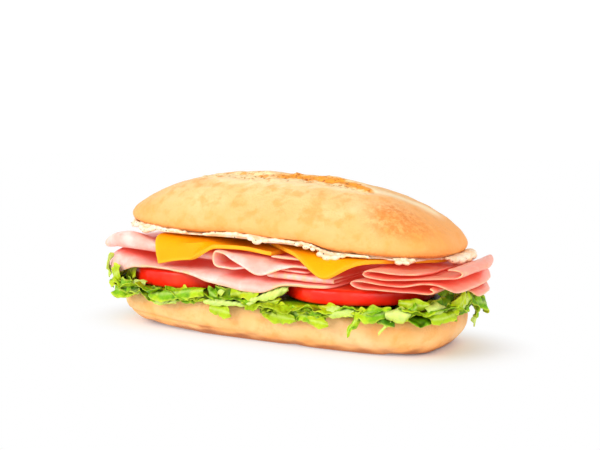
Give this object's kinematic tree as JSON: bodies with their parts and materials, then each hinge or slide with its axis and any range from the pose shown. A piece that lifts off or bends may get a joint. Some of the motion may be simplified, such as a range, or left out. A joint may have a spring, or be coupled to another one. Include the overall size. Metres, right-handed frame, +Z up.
{
  "type": "ham and cheese sandwich",
  "caption": "Long split bread roll filled with frilly lettuce, sliced tomato, folded ham, cheese slices and a white spread, resting flat on its base.",
  "frame": {"origin": "middle of the flat base that the roll rests on", "axes": "+X along the roll, -Y towards the front where the cheese corner hangs, +Z up"},
  "size_m": [0.2278, 0.1109, 0.0895],
  "materials": {
    "crust": "matt floury baked crust, pale gold",
    "spread": "satin creamy sauce with specks of pepper",
    "cheese": "satin orange-yellow sliced cheese",
    "tomato": "wet glossy red skin and flesh",
    "ham": "moist satin pink sliced ham",
    "lettuce": "satin bright green leaf with pale ribs and edges"
  },
  "bodies": {
    "root": {"cheese_left": "cheese", "cheese_right": "cheese", "ham_base": "ham", "ham_left": "ham", "ham_middle_broad": "ham", "ham_middle_inner": "ham", "ham_middle_upper": "ham", "ham_right_end": "ham", "ham_right_high": "ham", "ham_right_low": "ham", "lettuce_high_1": "lettuce", "lettuce_high_2": "lettuce", "lettuce_high_3": "lettuce", "lettuce_high_4": "lettuce", "lettuce_low_1": "lettuce", "lettuce_low_2": "lettuce", "lettuce_low_3": "lettuce", "lettuce_low_4": "lettuce", "roll_bottom": "crust", "roll_top": "crust", "spread": "spread", "tomato_left": "tomato", "tomato_right": "tomato"}
  },
  "joints": []
}
